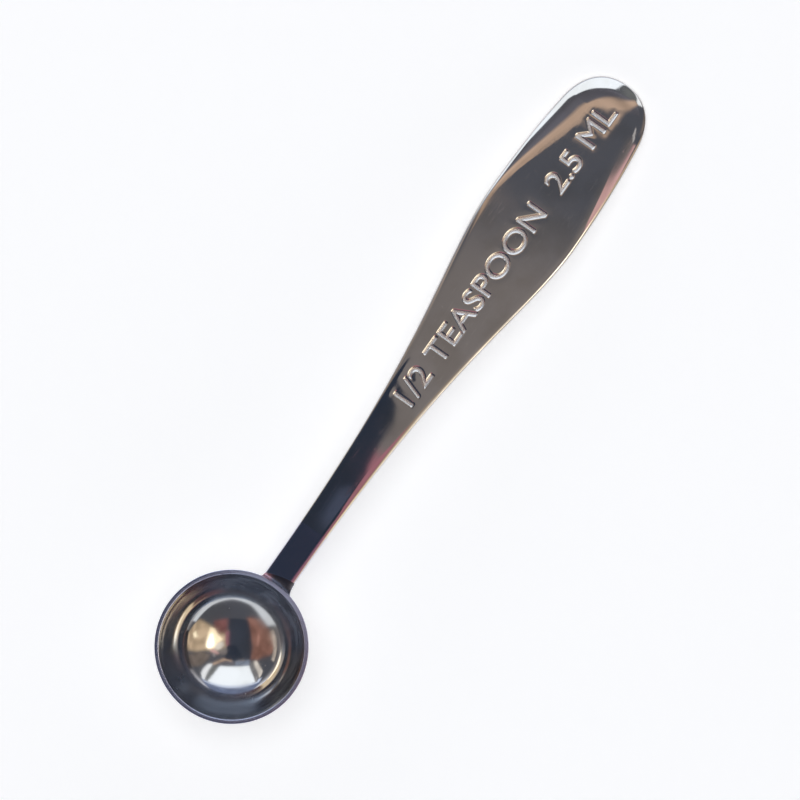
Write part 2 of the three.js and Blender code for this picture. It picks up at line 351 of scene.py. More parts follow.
class BowlZones:
    """Where a place of the bowl lies, and the lines, bands and specks that it has there."""

    line_pitch = 5200  # repeats of the drawing lines in a metre
    line_wander = (1.2, 1.2, 0)  # how fast a line changes on its way round
    band_scale = (2.0, 2.0, 0.3)  # the bands of film, against the lines
    polish_start = 3.5 * MM  # from the bowl's axis, as the next two
    wall_start = 7.9 * MM
    wall_end = 9.8 * MM
    rim_start = RIM_HEIGHT - 0.16 * MM
    rim_end = RIM_HEIGHT - 0.03 * MM

    def __init__(self, s, form):
        self.place = s.placed(s.place(), move=(-BOWL_AXIS, 0, 0))
        parts = s.add("SeparateXYZ", {0: self.place}).outputs
        flat = s.add("CombineXYZ", {"X": parts["X"], "Y": parts["Y"]}).outputs[0]
        heading = s.vector("NORMALIZE", flat)
        reach = s.measure("LENGTH", flat)
        self.dull = s.measure("DOT_PRODUCT", heading, DULL_SIDE)
        self.side = s.math("ABSOLUTE", s.measure("DOT_PRODUCT", heading, BRIGHT_SIDES))
        polished = s.ramp(self.side, low=0.75, high=0.97)
        self.bright = s.times(s.ramp(reach, self.polish_start, self.wall_end), polished)
        from_centre = s.measure("DISTANCE", self.place, (0, 0, form.outer))
        inside = s.math("LESS_THAN", from_centre, form.middle)
        self.wall = s.times(inside, s.ramp(reach, self.wall_start, self.wall_end))
        self.rim = s.ramp(parts["Z"], self.rim_start, self.rim_end)
        slant = s.math("SUBTRACT", reach, parts["Z"])
        rise = s.add("CombineXYZ", {"Z": s.times(slant, self.line_pitch)}).outputs[0]
        turned = s.vector("ADD", s.vector("MULTIPLY", heading, self.line_wander), rise)
        self.lines = s.noise(turned, scale=1.0, detail=3.0)
        broad = s.noise(s.vector("MULTIPLY", turned, self.band_scale), scale=1.0)
        self.bands = s.ramp(broad, low=0.3, high=0.7, start=0.4, end=1.6)
        self.specks = s.specks(self.place, scale=900, size=0.16, share_of_cells=0.07)


def bowl_colour(s, zones, finish):
    """Polished steel with painted shade: darker and bluer up the wall and darkest away from the handle, and
    a rim tinted blue as a painted reflection.
    """
    # Painted shade, darkest on the wall's side away from the handle.
    away = s.ramp(zones.dull, low=-0.85, high=-0.25, start=1.0, end=0.0)
    drawn = s.mix(away, opaque(finish.painted_shade_up_wall), opaque(finish.painted_shade_far_side))
    # Painted shade covers the wall, except on its two best-polished sides.
    dim = s.times(zones.wall, s.ramp(zones.side, low=0.82, high=0.99, start=1.0, end=0.1))
    base = s.mix(dim, film_colour(s, zones.place, finish, zones.specks), drawn)
    # The rim's blue is a painted reflection.
    return s.mix(zones.rim, base, opaque(finish.rim_painted_blue))


def bowl_roughness(s, zones, finish):
    """Smudged polish, satin up the wall except on its two bright sides, and a ground rim."""
    smudge = s.ramp(s.noise(zones.place, scale=210, detail=3.0), low=0.45, high=0.7)
    satin = s.times(zones.wall, s.ramp(zones.side, low=0.55, high=0.97, start=1.0, end=0.02))
    polish = s.total(
        finish.cup,
        s.times(smudge, finish.haze),
        s.times(zones.bright, -finish.bright * finish.cup),
        s.times(satin, finish.drawn),
        s.times(zones.lines, finish.bowl_lines),
        s.times(zones.specks, finish.bowl_specks),
    )
    return s.blend(zones.rim, polish, grainy(s, zones.place, finish.rim, scale=2600, spread=0.08))


def bowl_relief(s, zones):
    """Slow waves under the drawing lines, and grit on the rim."""
    wave = s.bump(s.noise(zones.place, scale=260, detail=1.0), depth=14 * MICRON)
    grain = s.bump(zones.lines, depth=0.5 * MICRON, normal=wave)
    grit_depth = s.times(zones.rim, 1.2 * MICRON)
    return s.bump(s.noise(zones.place, scale=9000), grit_depth, grain)


def bowl_metal(s, zones, finish):
    """How much bare metal the dull film leaves, in bands up the wall and on the dull side of the rim."""
    near = {"low": 0.3, "high": 1.05}
    banded = s.times(zones.wall, zones.bands)
    wall_film = s.times(banded, s.ramp(zones.dull, **near, start=0.35))
    rim_film = s.times(zones.rim, s.ramp(zones.dull, **near))
    film = s.math("MAXIMUM", wall_film, rim_film)
    return s.math("SUBTRACT", 1.0, s.times(film, finish.film))


def bowl_steel(finish, form):
    """Mirror-polished cup: fine turned lines, smudges and specks, a satin inner wall and a ground rim."""
    material, s = new_material("bowl_steel")
    zones = BowlZones(s, form)
    base = bowl_colour(s, zones, finish)
    roughness = bowl_roughness(s, zones, finish)
    finish_shader(s, base, roughness, bowl_relief(s, zones), bowl_metal(s, zones, finish))
    return material


def handle_marks(s, place):
    """Specks, and scratches in two directions: 1 on a mark and 0 beside it."""
    specks = s.specks(place, scale=620, size=0.12, share_of_cells=0.1)
    left = s.hairlines(place, turn=0.35, scale=900, seed=3.0)
    right = s.hairlines(place, turn=-0.6, scale=760, seed=8.0)
    return s.math("MAXIMUM", specks, s.math("MAXIMUM", left, right))


def handle_ground(s, place, finish):
    """1 on the ground stretch at the neck's root, which ends unevenly, and 0 beyond it."""
    uneven = s.times(s.noise(place, scale=500, detail=1.0), 0.3 * MM)
    along = s.total(s.axis(place, "X"), uneven)
    fade = (finish.ground_end + 0.05 * MM, finish.ground_end + 0.3 * MM)
    return s.ramp(along, *fade, start=1.0, end=0.0)


def handle_relief(s, place, lines, marks, ground):
    """Slow waves under the polishing lines, marks cut into them, and grit on the ground stretch."""
    wave = s.bump(s.noise(s.placed(place, scale=(0.6, 1, 1)), scale=150, detail=1.0), depth=3 * MICRON)
    grain = s.bump(lines, depth=0.12 * MICRON, normal=wave)
    cut = s.bump(s.math("SUBTRACT", 1.0, marks), depth=0.06 * MICRON, normal=grain)
    return s.bump(s.noise(place, scale=7000), s.times(ground, 0.3 * MICRON), cut)


def handle_steel(finish):
    """Mirror-polished sheet: lengthwise polishing lines, scratches and specks, ground near the root."""
    material, s = new_material("handle_steel")
    place = s.placed(s.place(), move=(-BOWL_AXIS, 0, 0))
    lines = s.noise(s.placed(place, scale=(90, 6500, 90)), scale=1.0, detail=3.0)
    marks = handle_marks(s, place)
    ground = handle_ground(s, place, finish)
    stamped = s.add("Attribute", attribute_name="stamped").outputs["Fac"]
    # The ground stretch's blue is a painted reflection.
    base = s.mix(ground, film_colour(s, place, finish, marks), opaque(finish.ground_painted_blue))
    base = s.mix(stamped, base, opaque(finish.stamped_steel))
    smears = s.noise(s.placed(place, scale=(0.7, 1, 1)), scale=190, detail=3.0)
    polish = s.total(
        finish.gloss,
        s.times(s.ramp(smears, low=0.45, high=0.72), finish.haze),
        s.times(lines, finish.handle_lines),
        s.times(marks, finish.handle_marks),
    )
    polish = s.blend(ground, polish, grainy(s, place, finish.ground, scale=2400, spread=0.06))
    polish = s.blend(stamped, polish, grainy(s, place, finish.stamped, scale=3000, spread=0.16))
    finish_shader(s, base, polish, handle_relief(s, place, lines, marks, ground))
    return material


def weld_steel(finish):
    """Dressed weld: satin with a mottled surface, darkened by painted shade, with a painted rose reflection
    on its left.
    """
    material, s = new_material("weld_steel")
    place = s.place()
    left = s.ramp(s.axis(place, "Y"), low=0.6 * MM, high=1.8 * MM)
    # Painted rose reflection, on the weld's left only.
    tint = s.times(left, s.ramp(s.noise(place, scale=700), low=0.3, high=0.55))
    # The weld's dark colour is painted shade, and its rose patch a painted reflection.
    base = s.mix(tint, opaque(finish.weld), opaque(finish.weld_painted_rose))
    mottle = s.noise(place, scale=1500, detail=3.0)
    roughness = s.total(finish.dressed, s.times(mottle, finish.mottle))
    lumps = s.bump(s.noise(place, scale=1100), depth=12 * MICRON)
    finish_shader(s, base, roughness, s.bump(mottle, depth=2 * MICRON, normal=lumps))
    return material


def make_piece(bm, name, node, material):
    """Closes and smooths a mesh, and puts it in the place of a CAD node."""
    bmesh.ops.remove_doubles(bm, verts=bm.verts, dist=MERGE)
    bmesh.ops.recalc_face_normals(bm, faces=bm.faces)
    loose = [edge for edge in bm.edges if not edge.is_manifold]
    if loose:
        raise RuntimeError(f"{name} isn't closed: {len(loose)} of its edges don't join two faces")
    for face in bm.faces:
        face.smooth = True
    mesh = bpy.data.meshes.new(name)
    bm.to_mesh(mesh)
    bm.free()
    mesh.materials.append(material)
    piece = bpy.data.objects.new(name, mesh)
    bpy.context.scene.collection.objects.link(piece)
    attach(piece, "root")
    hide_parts(node)


class BowlForm:
    """The cup's spheres, which share a centre on the bowl's axis."""

    def __init__(self, bowl):
        depth = RIM_HEIGHT - bowl.wall
        self.inner = (bowl.inner_radius**2 + depth**2) / (2 * depth)
        self.outer = self.inner + bowl.wall
        self.middle = (self.inner + self.outer) / 2
        self.centre = Vector((BOWL_AXIS, 0, self.outer))
        self.rim_inner = self.reach(self.inner, RIM_HEIGHT)
        self.rim_outer = self.reach(self.outer, RIM_HEIGHT)
        self.thinning = bowl.thinning

    def reach(self, sphere, height):
        """Radius of a sphere at a height."""
        return math.sqrt(sphere**2 - (self.centre.z - height) ** 2)

    def thin(self, place):
        """Moves a place on the inner sphere out to where drawing has left the wall's inside."""
        out = place - self.centre
        way = (out.angle((0, 0, -1)) - THIN_FROM) / (THIN_TO - THIN_FROM)
        return place + out.normalized() * self.thinning * math.sin(math.pi * min(max(way, 0), 1)) ** 2

    def wall_at(self, sphere, y, z):
        """Distance from the bowl's axis to a sphere, along the handle."""
        return np.sqrt(sphere**2 - y**2 - (z - self.centre.z) ** 2)


def sphere_arc(bm, form, sphere, rings):
    """Arc of edges from the bottom of a sphere up to the rim; gives the vertex at the rim."""
    bottom = bm.verts.new(form.centre - Vector((0, 0, sphere)))
    turn = math.acos((form.centre.z - RIM_HEIGHT) / sphere)
    spun = bmesh.ops.spin(
        bm, geom=[bottom], cent=form.centre, axis=(0, -1, 0), angle=turn, steps=rings,
        use_duplicate=False,
    )
    return next(item for item in spun["geom_last"] if isinstance(item, bmesh.types.BMVert))


class SPOON_OT_bowl(Operator):
    """Makes the drawn steel cup with its ground rim"""

    bl_idname = "spoon.bowl"
    bl_label = "Bowl"
    rim_cuts = 4
    break_steps = 4

    def execute(self, context):
        settings = context.scene.spoon
        bowl = settings.bowl
        form = BowlForm(bowl)
        bm = bmesh.new()
        outer = sphere_arc(bm, form, form.outer, bowl.rings)
        inner = sphere_arc(bm, form, form.inner, bowl.rings)
        rim = bm.edges.new((outer, inner))
        bmesh.ops.subdivide_edges(bm, edges=[rim], cuts=self.rim_cuts)
        bmesh.ops.spin(
            bm, geom=bm.verts[:] + bm.edges[:], cent=form.centre, axis=(0, 0, 1),
            angle=2 * math.pi, steps=bowl.sides, use_merge=True,
        )
        bmesh.ops.remove_doubles(bm, verts=bm.verts, dist=MERGE)
        bmesh.ops.recalc_face_normals(bm, faces=bm.faces)
        for vert in bm.verts:
            if (vert.co - form.centre).length < form.inner + MICRON:
                vert.co = form.thin(vert.co)
        corners = [edge for edge in bm.edges if self.is_corner(edge, form)]
        bmesh.ops.bevel(
            bm, geom=corners, offset=bowl.rim_break, affect="EDGES", segments=self.break_steps,
            profile=0.5, material=-1,
        )
        make_piece(bm, "bowl_shell", "bowl", bowl_steel(settings.finish, form))
        return {"FINISHED"}

    def is_corner(self, edge, form):
        """True for the rim's inner and outer edge."""
        for vert in edge.verts:
            out = math.hypot(vert.co.x - BOWL_AXIS, vert.co.y)
            off_side = min(abs(out - form.rim_inner), abs(out - form.rim_outer))
            if max(abs(vert.co.z - RIM_HEIGHT), off_side) > MICRON:
                return False
        return True


class HandleForm:
    """The handle's sheet: its outline in plan, and its top and bottom over each place of the plan.

    The bow is as deep as it takes for the tip's edge to touch the table.
    """

    edge_samples = 41  # places across the tip's rounded edge where it may touch the table
    curve_steps = 240  # steps in each of the outline's curves

    def __init__(self, handle, bowl_form):
        self.sizes = handle
        self.bowl = bowl_form
        self.paddle_at = handle.neck_length + handle.flare_length
        self.end_at = self.paddle_at + handle.taper_length
        self.spine_end = HANDLE_REACH - handle.tip_roll - handle.fan_gap
        self.root_height = RIM_HEIGHT - handle.root_step - handle.gauge / 2
        inset = np.linspace(0, 2 * handle.edge_round, self.edge_samples)
        below = self.roll_drop(inset, handle.tip_roll) + self.half_gauge(inset)
        self.bow_drop = np.min((self.root_height - below) / self.bow_share(HANDLE_REACH - inset))

    def curves(self):
        """The outline's three curves, each as four points of distance and half-width."""
        h = self.sizes
        neck = h.neck_width / 2
        paddle = h.paddle_width / 2
        end = h.end_width / 2
        third = h.taper_length / 3
        lead = h.corner_lead * (HANDLE_REACH - self.end_at)
        flare = [
            (h.neck_length, neck),
            (h.neck_length + h.flare_ease * h.flare_length, neck),
            (self.paddle_at - h.shoulder_ease * h.flare_length, paddle),
            (self.paddle_at, paddle),
        ]
        taper = [
            (self.paddle_at, paddle),
            (self.paddle_at + third, paddle),
            (self.end_at - third, end + h.end_slope * third),
            (self.end_at, end),
        ]
        rounded = [
            (self.end_at, end),
            (self.end_at + lead, end - h.end_slope * lead),
            (HANDLE_REACH, h.tip_fullness * end),
            (HANDLE_REACH, 0),
        ]
        return flare, taper, rounded

    def outline(self):
        """Half of the outline as closely spaced points of distance and half-width."""
        points = [(0, self.sizes.neck_width / 2)]
        for curve in self.curves():
            knots = [Vector((*point, 0)) for point in curve]
            points += [point[:2] for point in interpolate_bezier(*knots, self.curve_steps)]
        return np.array(points)

    def roll_width(self, along):
        """Width of the rolled edge, which grows from the paddle to the tip."""
        start = self.paddle_at - self.sizes.roll_lead
        share_of_way = np.clip((along - start) / (self.end_at - start), 0, 1)
        eased = share_of_way**2 * (3 - 2 * share_of_way)
        return self.sizes.neck_roll + (self.sizes.tip_roll - self.sizes.neck_roll) * eased

    def roll_drop(self, inset, width):
        """How far the rolled edge has come down at a distance in from the outline."""
        return self.sizes.roll_slope * width * np.maximum(0, 1 - inset / width) ** 3 / 3

    def half_gauge(self, inset):
        """Half the sheet's thickness, which closes in a round at the outline."""
        h = self.sizes
        return h.gauge / 2 * np.sqrt(1 - np.maximum(0, 1 - inset / h.edge_round) ** 2)

    def bow_share(self, along):
        """Share of the bow's drop that the sheet has reached."""
        start = self.bowl.rim_outer
        return (np.maximum(0, along - start) / (HANDLE_REACH - start)) ** 2

    def middle(self, along, inset, roll):
        """Height of the sheet's middle."""
        return self.root_height - self.bow_drop * self.bow_share(along) - self.roll_drop(inset, roll)


ROOT_LEAD = 1.2 * MM  # from the first section out to the rim's outer edge
MARK_LEAD = 1.5 * MM  # from the first of the close sections to the mark
NECK_STEP = 0.8 * MM  # between the sections of the neck
FLARE_STEP = 0.55 * MM  # between the sections from the neck to the mark
MARK_STEP = 0.135 * MM  # between the sections under the mark
TIP_SECTIONS = 72  # sections that fan round the tip
MARK_MARGIN = 0.4 * MM  # from the letters to where a section's points stop being even
EVEN_SHARE = 0.6  # most of a section's half-width that has even points
LETTER_STEPS = 6  # steps in each curve of a letter


def handle_stations(form, mark):
    """Outline points of the handle's sections, close together under the mark and round the tip."""
    outline = form.outline()
    neck = form.sizes.neck_length
    close = mark.start - MARK_LEAD
    spans = [
        (form.bowl.rim_outer - ROOT_LEAD, neck, NECK_STEP),
        (neck, close, FLARE_STEP),
        (close, form.spine_end, MARK_STEP),
    ]
    rows = [np.linspace(a, b, round((b - a) / step), endpoint=False) for a, b, step in spans]
    along = np.concatenate(rows)
    body = np.column_stack([along, np.interp(along, outline[:, 0], outline[:, 1])])
    tip = outline[outline[:, 0] >= form.spine_end]
    travel = np.concatenate([[0], np.cumsum(np.hypot(*np.diff(tip, axis=0).T))])
    even = np.linspace(0, travel[-1], TIP_SECTIONS)
    end = np.column_stack([np.interp(even, travel, tip[:, 0]), np.interp(even, travel, tip[:, 1])])
    return np.concatenate([body, end])


def section_shares(half_width, mark, inner_rows, edge_rows):
    """Distances from the spine of a section's points: even under the mark, closer towards the edge."""
    inner = min(mark.cap_height / 2 + mark.offset + MARK_MARGIN, EVEN_SHARE * half_width)
    even = inner * np.linspace(0, 1, inner_rows + 1)
    eased = np.sin(np.linspace(0, math.pi / 2, edge_rows + 1)[1:])
    return np.concatenate([even, inner + (half_width - inner) * eased])


def letter_edges(mark):
    """Edges of the mark's letters in plan, as pairs of points."""
    text = bpy.data.curves.new("mark", "FONT")
    text.body = mark.words
    text.align_x = "CENTER"
    text.align_y = "CENTER"
    text.resolution_u = LETTER_STEPS
    letters = bpy.data.objects.new("mark", text)
    bpy.context.scene.collection.objects.link(letters)
    bpy.context.view_layer.update()
    mesh = bpy.data.meshes.new_from_object(letters)
    bpy.data.objects.remove(letters)
    bm = bmesh.new()
    bm.from_mesh(mesh)
    points = np.array([vert.co[:2] for vert in bm.verts])
    low = points.min(0)
    size = points.max(0) - low
    wanted = np.array([mark.end - mark.start, mark.cap_height])
    corner = np.array([mark.start, mark.offset - mark.cap_height / 2])
    edges = [[vert.co[:2] for vert in edge.verts] for edge in bm.edges if edge.is_boundary]
    bm.free()
    bpy.data.meshes.remove(mesh)
    return corner + (np.array(edges) - low) / size * wanted


def stamp_depth(points, mark):
    """How deep the mark is stamped at points of the plan."""
    distance = np.full(len(points), np.inf)
    inside = np.zeros(len(points), bool)
    for start, end in letter_edges(mark):
        run = end - start
        t = np.clip((points - start) @ run / (run @ run), 0, 1)
        distance = np.minimum(distance, np.hypot(*(points - start - t[:, None] * run).T))
        spans = (start[1] > points[:, 1]) != (end[1] > points[:, 1])
        if run[1] != 0:
            crossing = start[0] + (points[:, 1] - start[1]) / run[1] * run[0]
            inside ^= spans & (points[:, 0] < crossing)
    signed = np.where(inside, -distance, distance)
    t = np.clip(0.5 - signed / mark.wall, 0, 1)
    sink = mark.sink * np.exp(-((np.maximum(signed, 0) / mark.sink_width) ** 2))
    return mark.depth * t * t * (3 - 2 * t) + sink


class SPOON_OT_handle(Operator):
    """Makes the pressed handle with its rolled edge and stamped capacity mark"""

    bl_idname = "spoon.handle"
    bl_label = "Handle"
    inner_rows = 20
    edge_rows = 15
    sink_reach = 3  # sink widths beyond which nothing has sunk

    def execute(self, context):
        settings = context.scene.spoon
        form = HandleForm(settings.handle, BowlForm(settings.bowl))
        stations = handle_stations(form, settings.mark)
        rows = 2 * (self.inner_rows + self.edge_rows)
        bm = bmesh.new()
        stamped = bm.verts.layers.float.new("stamped")
        bmesh.ops.create_grid(bm, x_segments=len(stations) - 1, y_segments=rows, size=1)
        copied = bmesh.ops.duplicate(bm, geom=bm.verts[:] + bm.edges[:] + bm.faces[:])
        under = [item for item in copied["geom"] if isinstance(item, bmesh.types.BMVert)]
        under_set = set(under)
        top = [vert for vert in bm.verts if vert not in under_set]
        self.lay(top, stations, form, settings.mark, 1, stamped)
        self.lay(under, stations, form, settings.mark, -1, stamped)
        bmesh.ops.remove_doubles(bm, verts=bm.verts, dist=MERGE)
        bmesh.ops.holes_fill(bm, edges=[edge for edge in bm.edges if edge.is_boundary])
        make_piece(bm, "handle_blade", "handle", handle_steel(settings.finish))
        return {"FINISHED"}

    def lay(self, verts, stations, form, mark, side, stamped):
        """Lays a grid over the handle: its length along the stations and its width across them."""
        grid = np.array([vert.co[:2] for vert in verts])
        half_rows = self.inner_rows + self.edge_rows
        column = np.rint((grid[:, 0] + 1) / 2 * (len(stations) - 1)).astype(int)
        row = np.rint(grid[:, 1] * half_rows).astype(int)
        foot = np.minimum(stations[:, 0], form.spine_end)
        reach = stations - np.column_stack([foot, np.zeros(len(stations))])
        half_width = np.hypot(*reach.T)
        shares = np.array([
            section_shares(width, mark, self.inner_rows, self.edge_rows) / width for width in half_width
        ])
        out = shares[column, np.abs(row)]
        x = foot[column] + reach[column, 0] * out
        y = np.sign(row) * reach[column, 1] * out
        inset = np.maximum(0, half_width[column] * (1 - out))
        middle = form.middle(x, inset, form.roll_width(stations[column, 0]))
        z = middle + side * form.half_gauge(inset)
        depth = self.mark_depth(x, y, mark) if side > 0 else np.zeros(len(x))
        z = z - depth
        root = column == 0
        x[root] = form.bowl.wall_at(form.bowl.middle, y[root], z[root])
        floor = np.clip((depth - mark.sink) / mark.depth, 0, 1)
        for vert, place, sunk in zip(verts, zip(x + BOWL_AXIS, y, z), floor):
            vert.co = place
            vert[stamped] = sunk

    def mark_depth(self, x, y, mark):
        """Depth of the mark under each point, which is zero away from the letters."""
        margin = self.sink_reach * mark.sink_width
        near = (x > mark.start - margin) & (x < mark.end + margin)
        near &= np.abs(y - mark.offset) < mark.cap_height / 2 + margin
        depth = np.zeros(len(x))
        depth[near] = stamp_depth(np.column_stack([x[near], y[near]]), mark)
        return depth


class SPOON_OT_weld(Operator):
    """Makes the weld bead as a collar round the neck's root"""

    bl_idname = "spoon.weld"
    bl_label = "Weld bead"
    around = 120
    fillet_steps = 12
    bury = 0.25 * MM  # how deep the bead's hidden sides lie in the bowl and the neck
    dip = 0.03 * MM  # how deep the bead's toe lies in the neck
    heel = 0.7  # share of the bead's length where it has its full burial

    def execute(self, context):
        settings = context.scene.spoon
        bowl_form = BowlForm(settings.bowl)
        form = HandleForm(settings.handle, bowl_form)
        profile = self.profile()
        bm = bmesh.new()
        bmesh.ops.create_grid(bm, x_segments=self.around, y_segments=len(profile), size=1)
        for vert in bm.verts:
            turn = math.pi * (vert.co.x + 1)
            step = round((vert.co.y + 1) / 2 * len(profile)) % len(profile)
            vert.co = self.place(turn, profile[step], settings, form)
        make_piece(bm, "weld_fillet", "weld_bead", weld_steel(settings.finish))
        return {"FINISHED"}

    def profile(self):
        """Points of the bead's section as (share of its height, share of its length, burial)."""
        angles = np.linspace(math.pi / 2, 0, self.fillet_steps + 1)
        fillet = [(1 - math.cos(a), 1 - math.sin(a), 0) for a in angles]
        fillet[-1] = (0, 1, self.dip)
        return [*fillet, (0, self.heel, self.bury), (0, -1, self.bury), (1, -1, 0)]

    def place(self, turn, point, settings, form):
        """A point of the bead: turn goes once round the neck's section, from its right-hand edge."""
        rise, run, burial = point
        bead = settings.bead
        half = settings.handle.neck_width / 2
        y = -half * math.cos(turn)
        inset = np.float64(half - abs(y))
        middle = form.root_height - form.roll_drop(inset, settings.handle.neck_roll)
        lift = math.copysign(float(form.half_gauge(inset)), math.sin(turn))
        left = (1 - math.cos(turn)) / 2
        wide = bead.left_height if y > 0 else bead.right_height
        tall = settings.handle.root_step if lift > 0 else bead.under_height
        y_grown = y * (1 + (wide * rise - burial) / half)
        lift_grown = lift * (1 + 2 * (tall * rise - burial) / settings.handle.gauge)
        z = float(middle + lift_grown)
        reach = bead.right_length + (bead.left_length - bead.right_length) * left
        wall = form.bowl.wall_at(form.bowl.outer, y_grown, z)
        inward = self.bury if run < 0 else 0
        return (BOWL_AXIS + wall + max(run, 0) * reach - inward, y_grown, z)


def link_stage(name, data):
    """Adds something to the scene that isn't part of the spoon."""
    thing = bpy.data.objects.new(name, data)
    bpy.context.scene.collection.objects.link(thing)
    return thing


def rectangle(right, up):
    """Corners of a card from its spans to the right and upward in the picture."""
    return [(right[0], up[0]), (right[1], up[0]), (right[1], up[1]), (right[0], up[1])]


class Card(NamedTuple):
    """The plan of a level card overhead, with its corners to the right and upward in the picture.

    The corners and the soft edge of a near card are in metres, and of a far one in slopes from the zenith.
    """

    name: str
    tone: tuple
    brightness: float
    soft: float
    corners: list


CARD_LAYER = 1 * MM  # from one card up to the next
CARD_CLOUDS = 3  # clouds across a card as wide as it is high above the table
CARD_MOTTLE = 0.25  # how much the clouds lighten and darken a card

